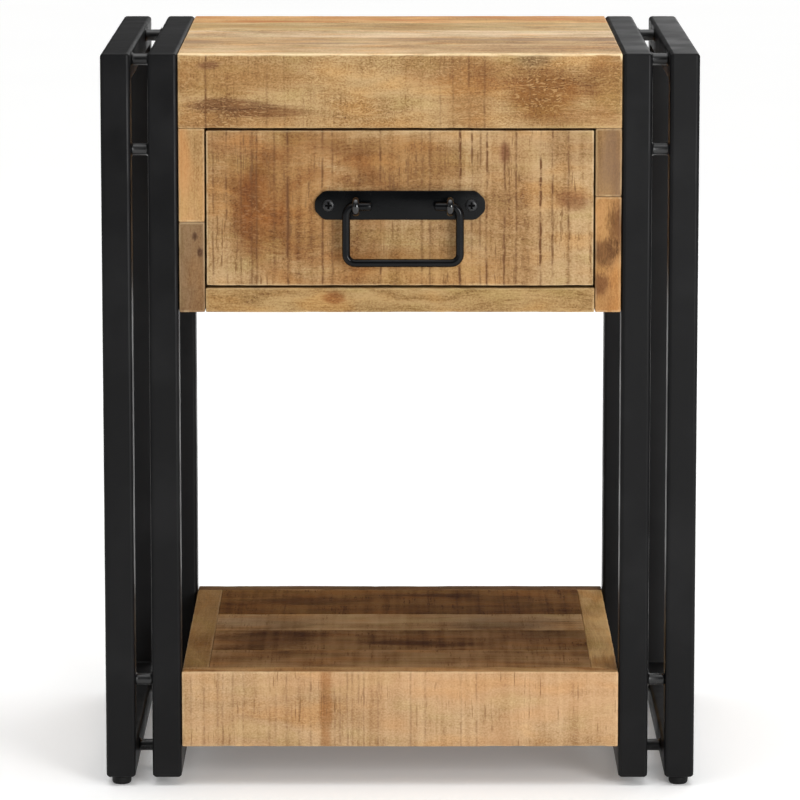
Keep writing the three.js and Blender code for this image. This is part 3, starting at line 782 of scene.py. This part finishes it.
bottom_low, bottom_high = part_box("box_bottom_panel")
bottom_materials = [wood("bottom_wood_1", X, "97774a", 61, rings=1.2, fibre=0.8, fibre_length=12,
                         figure=1.6, speckle=1.1, saw=0.0, warp=18,
                         stains=marks("box_bottom_panel", (0.33, 0.6, 8, 5, "d6b69c", 1.0)))]
bottom_materials += [wood(f"bottom_wood_{k + 2}", X, tone, 62 + k, **plain_board)
                     for k, tone in enumerate(("a57a4c", "9c7048", "ab8050"))]
planks("bottom_plank", "box_bottom_panel", bottom_low, bottom_high, X, Y,
       cuts_between(bottom_low.y, bottom_high.y, 0.22, 0.5, 0.74), bottom_materials, "box_wood")

back_low, back_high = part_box("box_back_panel")
back_materials = [wood(f"back_wood_{k + 1}", X, tone, 71 + k, **plain_board)
                  for k, tone in enumerate(("a3794b", "b28858"))]
planks("back_plank", "box_back_panel", back_low, back_high, X, Z,
       cuts_between(back_low.z, back_high.z, 0.55), back_materials, "box_wood")


# ---------------- lower shelf

SHELF_CUTS = [(share, 0.38) for share in (
    0.02, 0.05, 0.082, 0.093, 0.116, 0.14, 0.20, 0.215, 0.24, 0.268, 0.295, 0.35, 0.362, 0.379,
    0.39, 0.405, 0.417, 0.45, 0.524, 0.558, 0.64, 0.676)]
shelf_front_wood = wood("shelf_front_wood", X, "b08e66", 81, rings=0.35, streak=0.12, fibre=0.1,
                        fibre_length=6, figure=1.0, speckle=0.8, saw=0.9, clouds=0.3,
                        tint=("c99b70", 0.4), lines=cut_lines("shelf_front_board", SHELF_CUTS),
                        stains=marks("shelf_front_board", (0.33, 0.5, 5.5, 60, "dcc8b2", 1.0)))
# darker copies of the shelf wood for the upward faces of the front and back boards: painted shade from
# the drawer box above. The front copy's edge cream also paints the light its top front edge catches
shelf_painted_shade_tops = {
    "front": wood("shelf_front_top_wood", X, "a0794d", 86, saw=0.5, wear_and_highlight_strength=0.3, gloss=0.05),
    "back": wood("shelf_back_top_wood", X, "5e4226", 87, saw=0.5, wear_and_highlight_strength=0.0, gloss=0.05),
}
shelf_woods = {"front": shelf_front_wood}
# the left board's tone is darker than the right's: partly the wood's own tone, partly painted shade
# under the drawer box
for number, (place, tone) in enumerate((("back", "9a7248"), ("left", "86643a"), ("right", "b38e5b"))):
    runs = X if place == "back" else Y
    near_front = marks(f"shelf_{place}_board", (0.5, 0.04, 60, 30, "d0c4b8", 1.0), on_top=True)
    shelf_woods[place] = wood(f"shelf_{place}_wood", runs, tone, 82 + number, saw=0.3,
                              stains=near_front if place == "right" else (), wear_and_highlight_strength=0.1,
                              gloss=0.06)
for number, (place, material) in enumerate(shelf_woods.items()):
    node = f"shelf_{place}_board"
    runs = X if place in ("front", "back") else Y
    piece = board(f"{node}_sawn", *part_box(node), runs, material, "table", "shelf_wood", [node],
                  seed=400 + number, dents=0.5 * MM)
    # the board's upward faces take the darker top copy: painted shade
    if place in shelf_painted_shade_tops:
        piece.data.materials.append(shelf_painted_shade_tops[place])
        for polygon in piece.data.polygons:
            faces_up = polygon.normal.z > 0.85
            polygon.material_index = 1 if faces_up else 0

smoky, dim, faint = "a8968a", "c8b8a8", "dedee4"
dark_plank = {"streak": 0.2, "fibre": 0.2, "figure": 0.6, "saw": 1.3, "clouds": 1.4}
back_plank_cuts = [(share, 0.5) for share in (0.58, 0.66, 0.72, 0.79, 0.83, 0.91, 0.96)]
# the plank tones run darker than the same wood on the fronts: partly the planks' own tones, partly
# painted shade under the drawer box
shelf_plank_looks = (
    ("82603d", {"figure": 1.0, "saw": 0.9, "clouds": 1.2}, [(0.20, 0.12, 45, 30, dim, 0.3)]),
    ("775533", dark_plank,
     [(0.14, 0.34, 42, 40, smoky, 0.7), (0.50, 0.30, 30, 9, smoky, 0.9),
      (0.84, 0.36, 26, 14, smoky, 0.4)]),
    ("9d7c55", {"figure": 1.0, "saw": 0.7, "clouds": 1.0},
     [(0.08, 0.55, 60, 30, faint, 1.0), (0.78, 0.55, 50, 30, faint, 1.0)]),
    ("694622", {**dark_plank, "lines": cut_lines("shelf_panel", back_plank_cuts)},
     [(0.22, 0.84, 50, 18, smoky, 0.75), (0.60, 0.92, 40, 7, smoky, 0.8)]),
)
panel_materials = [
    wood(f"shelf_plank_wood_{k + 1}", X, tone, 91 + k, wear_and_highlight_strength=0.0, gloss=0.03,
         stains=marks("shelf_panel", *stains, on_top=True), **looks)
    for k, (tone, looks, stains) in enumerate(shelf_plank_looks)
]
inside_low = (high("shelf_left_board").x, high("shelf_front_board").y, low("shelf_panel").z)
inside_high = (low("shelf_right_board").x, low("shelf_back_board").y, high("shelf_panel").z)
planks("shelf_plank", "shelf_panel", inside_low, inside_high, X, Y,
       cuts_between(inside_low[Y], inside_high[Y], 0.21, 0.46, 0.67), panel_materials, "shelf_wood",
       radius=0.4 * MM)


# ---------------- drawer

DRAWER_CUTS = ((0.017, 0.6), (0.052, 0.8), (0.09, 0.7), (0.118, 0.6), (0.13, 0.9), (0.175, 0.6),
               (0.21, 1.2), (0.30, 0.85), (0.325, 0.6), (0.45, 0.85), (0.556, 0.5), (0.577, 0.6),
               (0.655, 1.4), (0.685, 0.9), (0.707, 0.6), (0.724, 1.0), (0.77, 0.9), (0.80, 0.8),
               (0.863, 1.8), (0.894, 1.0), (0.935, 0.6))
drawer_stains = marks(
    "drawer_front",
    (0.79, 0.5, 22, 200, "ecdfd0", 0.6),
    (0.945, 0.55, 13, 8, "c4a894", 0.9),
    (0.13, 0.5, 16, 34, "e2caac", 0.9),
    (0.18, 0.62, 56, 52, "e0caac", 1.0),
    (0.06, 0.92, 26, 20, "eee0d2", 0.9),
    (0.36, 0.92, 26, 16, "ece4d8", 0.9),
    (0.93, 0.92, 26, 18, "e8e2dc", 0.9),
    (0.50, 0.80, 56, 20, "decbb0", 1.0),
    (0.55, 0.10, 60, 18, "f8ead2", 1.0),
    (0.77, 0.86, 5, 10, "b09088", 0.9),
)
drawer_arcs = marks(
    "drawer_front",
    (0.30, 0.46, 30, 32, "e6d2ba", 0.7),
    (0.27, 0.48, 50, 54, "dcc6aa", 0.75),
    (0.62, 0.20, 34, 24, "ecdfcc", 0.4),
    reach=200,
)
drawer_face_wood = wood("drawer_face_wood", X, "a18158", 101, rings=0.6, streak=0.1, fibre=0.0,
                        fibre_length=6, figure=1.2, speckle=1.1, saw=1.2, clouds=0.6, warp=14,
                        stains=drawer_stains, arcs=drawer_arcs,
                        lines=cut_lines("drawer_front", DRAWER_CUTS), wear_and_highlight_strength=0.3,
                        knots=((spot("drawer_front", 0.22, 0.5), (38, 200, 40), 26, 0.0),))
board("drawer_face", *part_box("drawer_front"), X, drawer_face_wood, "drawer", "drawer_front_wood",
      ["drawer_front"], seed=500, radius=0.8 * MM)

for number, node in enumerate(("drawer_left_wall", "drawer_right_wall", "drawer_back_wall")):
    runs = X if node == "drawer_back_wall" else Y
    material = wood(f"{node}_wood", runs, "b08c5c", 111 + number, figure=0.2, saw=0.1)
    board(f"{node}_planed", *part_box(node), runs, material, "drawer", "drawer_wood", [node],
          seed=510 + number, wobble=0.05 * MM, dents=0.2 * MM, step=6 * MM)
floor_wood = wood("drawer_floor_wood", X, "b28a5a", 121, saw=0.1)
board("drawer_floor_planed", *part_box("drawer_floor"), X, floor_wood, "drawer", "drawer_wood",
      ["drawer_floor"], seed=520, radius=0.5 * MM, wobble=0.05 * MM, step=8 * MM)
for number, side in enumerate(SIDES):
    node = f"drawer_{side}_guide"
    material = wood(f"{node}_wood", Y, "b28a5a", 131 + number)
    board(f"{node}_strip", *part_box(node), Y, material, "table", "drawer_wood", [node],
          seed=530 + number, step=8 * MM)


# ---------------- handle

plate_low, plate_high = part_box("handle_plate")
HANDLE_Z = (plate_low.z + plate_high.z) / 2
bail_low, bail_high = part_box("handle_bail")
ROD = bail_high.y - bail_low.y
PIVOT_Y = (bail_low.y + bail_high.y) / 2
PIVOT_Z = bail_high.z - ROD / 2
BAIL_X = (bail_low.x + bail_high.x) / 2


def runs_through(edge):
    """Whether an edge goes from the front of the plate to its back."""
    return abs(edge.verts[0].co.y - edge.verts[1].co.y) > MM


def handle_plate():
    """A flat bar with cut corners, its edges rounded."""
    half_length = (plate_high.x - plate_low.x) / 2
    half_height = (plate_high.z - plate_low.z) / 2
    corner = 6 * MM
    shape = []
    for a, b in ((-1, -1), (1, -1), (1, 1), (-1, 1)):
        cut = [(a * half_length, b * (half_height - corner)),
               (a * (half_length - corner), b * half_height)]
        shape += cut if a * b > 0 else reversed(cut)
    sunk = 0.25 * MM
    back = plate_high.y + sunk
    points = [(x, y, HANDLE_Z + z) for y in (plate_low.y, back) for x, z in shape]
    faces = ends(2, len(shape)) + skin(2, len(shape))
    plate = add_piece("handle_back_plate", points, faces, [iron_black], "drawer",
                      ["handle_plate"])
    bevel(plate, runs_through, width=2.2 * MM, segments=4)
    bevel(plate, sharper_than(35), width=0.5 * MM, segments=3, clamp=True)
    smooth(plate, BEVELLED_CRISP_ANGLE)


def round_rod(route, radius):
    """Points and faces of a round rod along a route in a plane of constant Y, with domed ends."""
    sides = 20
    route = np.array(route)
    ahead = np.gradient(route, axis=0)
    ahead /= np.linalg.norm(ahead, axis=1)[:, None]
    sideways = np.array([0.0, 1.0, 0.0])

    def dome(end, way, lean):
        """A ring on the domed end: its middle, direction and radius."""
        middle = route[end] + ahead[end] * way * radius * 0.5 * math.sin(lean)
        return middle, ahead[end], radius * math.cos(lean)

    rings = [dome(0, -1, 1.0), dome(0, -1, 0.5)]
    rings += [(middle, way, radius) for middle, way in zip(route, ahead)]
    rings += [dome(-1, 1, 0.5), dome(-1, 1, 1.0)]
    points = []
    for middle, way, reach in rings:
        other = np.cross(way, sideways)
        for turn in full_turn(sides):
            points.append(middle + reach * (sideways * math.cos(turn) + other * math.sin(turn)))
    return points, skin(len(rings), sides) + ends(len(rings), sides)


def handle_bail():
    """The bail: bent from one rod, with its two ends turned inward through the eyes."""
    half = (bail_high.x - bail_low.x - ROD) / 2
    drop = bail_high.z - bail_low.z - ROD
    bend = 6 * MM
    reach = 15.8 * MM
    straight_steps, bend_steps = 6, 9
    corners = [(-half, 0.0), (-half, -drop), (half, -drop), (half, 0.0)]
    stops = [np.array(stop) for stop in ((-half + reach, 0.0), *corners, (half - reach, 0.0))]
    route = [stops[0]]

    def go_straight(end):
        start = route[-1]
        route.extend(start + (end - start) * share for share in np.linspace(0, 1, straight_steps)[1:])

    for before, corner, after in zip(stops[:-2], stops[1:-1], stops[2:]):
        inward = (before - corner) / np.linalg.norm(before - corner)
        onward = (after - corner) / np.linalg.norm(after - corner)
        centre = corner + (inward + onward) * bend
        go_straight(corner + inward * bend)
        for turn in np.linspace(0, QUARTER_TURN, bend_steps)[1:]:
            route.append(centre - bend * (onward * math.cos(turn) + inward * math.sin(turn)))
    go_straight(stops[-1])
    placed = [(BAIL_X + x, PIVOT_Y, PIVOT_Z + z) for x, z in route]
    points, faces = round_rod(placed, ROD / 2)
    add_piece("handle_swing_bail", points, faces, [iron_gloss], "bail", ["handle_bail"])


def handle_eye(side):
    """A ring of round section on a stem: the bail's end turns inside it."""
    node = f"handle_{side}_eye"
    lowest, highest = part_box(node)
    centre_x = (lowest.x + highest.x) / 2
    outer = PIVOT_Y - lowest.y
    half_wide = (highest.x - lowest.x) / 2 * 0.92
    half_thick = 1.55 * MM
    middle = outer - half_thick
    around, sides = 40, 14
    points = []
    for turn in full_turn(around):
        for lean in full_turn(sides):
            distance = middle + half_thick * math.cos(lean)
            points.append((centre_x + half_wide * math.sin(lean), PIVOT_Y + distance * math.cos(turn),
                           PIVOT_Z + distance * math.sin(turn)))
    faces = skin(around, sides, closed=True)
    add_piece(f"{node}_ring", points, faces, [eye_gloss], "drawer", [node])


def handle_screw(side):
    """A pan-head screw: grid points on its dome sink where they fall inside the cross recess."""
    node = f"handle_{side}_screw"
    lowest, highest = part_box(node)
    centre = (lowest + highest) / 2
    radius = (highest.x - lowest.x) / 2
    thick = 1.6 * MM
    slot_half_width, slot_reach, slot_depth = 0.7 * MM, 0.58 * radius, 0.85 * MM
    rings, segments = 22, 72
    twist = math.radians(9)
    points, sunk = [], set()
    for share in np.arange(1, rings + 1) / rings:
        dome = thick * 0.85 * (1 - math.sqrt(max(0.0, 1 - share ** 3.0)))
        for turn in full_turn(segments) + twist:
            a, b = radius * share * math.cos(turn), radius * share * math.sin(turn)
            in_cross = min(abs(a), abs(b)) < slot_half_width and max(abs(a), abs(b)) < slot_reach
            if in_cross:
                sunk.add(len(points))
            depth = dome + (slot_depth if in_cross else 0.0)
            points.append((centre.x + a, lowest.y + depth, centre.z + b))
    rim = lowest.y + thick + 0.3 * MM
    for turn in full_turn(segments) + twist:
        points.append((centre.x + radius * math.cos(turn), rim, centre.z + radius * math.sin(turn)))
    faces = skin(rings + 1, segments) + ends(rings + 1, segments)
    head = add_piece(f"{node}_head", points, faces, [screw_grey, recess_painted_shade], "drawer",
                     [node])
    # faces lying wholly inside the cross recess take the near-black coat: painted shade in the recess
    for polygon in head.data.polygons:
        polygon.material_index = 1 if sunk.issuperset(polygon.vertices) else 0


handle_plate()
handle_bail()
for side in SIDES:
    handle_eye(side)
    handle_screw(side)


# ---------------- floor, light and camera

def stage_floor():
    """A pale floor that runs out of sight."""
    g = Graph(bpy.data.materials.new("floor_paint"))
    place = g.node("ShaderNodeTexCoord", {}, out="Object")
    mottle = g.noise(g.scaled(place, 3.0))
    colour = g.mix(mottle, (0.90, 0.90, 0.895, 1), (0.93, 0.93, 0.925, 1))
    material = g.finish({"Base Color": colour, "Roughness": 0.8, "Specular IOR Level": 0.1,
                         "Emission Color": (1, 1, 1, 1), "Emission Strength": 0.17})
    bpy.ops.mesh.primitive_circle_add(vertices=64, radius=14, fill_type="NGON", location=(0, 0, 0))
    floor = bpy.context.object
    floor.name = "floor"
    floor.data.materials.append(material)


def soft_light(name, azimuth, elevation, distance, size, power):
    """A square soft box that looks at the table. Azimuth 0 is in front, and it grows to the right."""
    light = bpy.data.lights.new(name, "AREA")
    light.shape = "SQUARE"
    light.size = size
    light.energy = power
    lamp = bpy.data.objects.new(name, light)
    a, e = math.radians(azimuth), math.radians(elevation)
    target = Vector((0, 0, 0.28))
    away = Vector((math.sin(a) * math.cos(e), -math.cos(a) * math.cos(e), math.sin(e)))
    lamp.location = target + away * distance
    lamp.rotation_mode = "QUATERNION"
    lamp.rotation_quaternion = away.to_track_quat("Z", "Y")
    bpy.context.scene.collection.objects.link(lamp)


def world_light(horizon, zenith):
    """A sky that grows brighter overhead; the camera itself sees plain white."""
    g = Graph(bpy.data.worlds.new("studio"))
    upward = g.parts(g.node("ShaderNodeTexCoord", {}, out="Generated"))[Z]
    gathered_overhead = 6.0
    height = g.math("POWER", upward, gathered_overhead, clamp=True)
    brightness = g.node("ShaderNodeMapRange", {"Value": height, "To Min": horizon, "To Max": zenith})
    for_camera = g.node("ShaderNodeLightPath", {}, out="Is Camera Ray")
    strength = g.node("ShaderNodeMix", {0: for_camera, 2: brightness, 3: 1.0})
    background = g.node("ShaderNodeBackground", {"Color": (1, 1, 1, 1), "Strength": strength})
    g.node("ShaderNodeOutputWorld", {"Surface": background})
    bpy.context.scene.world = g.owner


def photo_camera():
    """A long lens in front of the table, a little above it and tipped down."""
    camera = bpy.data.cameras.new("camera")
    camera.lens = 227.2
    camera.sensor_width = 36.0
    camera.clip_end = 100
    distance, height, tipped_down = 3.355, 0.805, 9.12
    holder = bpy.data.objects.new("camera", camera)
    holder.location = (0.0, FRONT - distance, height)
    holder.rotation_euler = (math.radians(90 - tipped_down), 0, 0)
    bpy.context.scene.collection.objects.link(holder)
    bpy.context.scene.camera = holder


stage_floor()
world_light(horizon=0.11, zenith=3.35)
soft_light("key", azimuth=30, elevation=12, distance=2.4, size=0.85, power=30)
soft_light("fill", azimuth=-40, elevation=14, distance=2.6, size=1.6, power=4.5)
soft_light("rear", azimuth=156, elevation=29, distance=2.6, size=1.6, power=9.3)
photo_camera()
bpy.context.scene.view_settings.view_transform = "Standard"
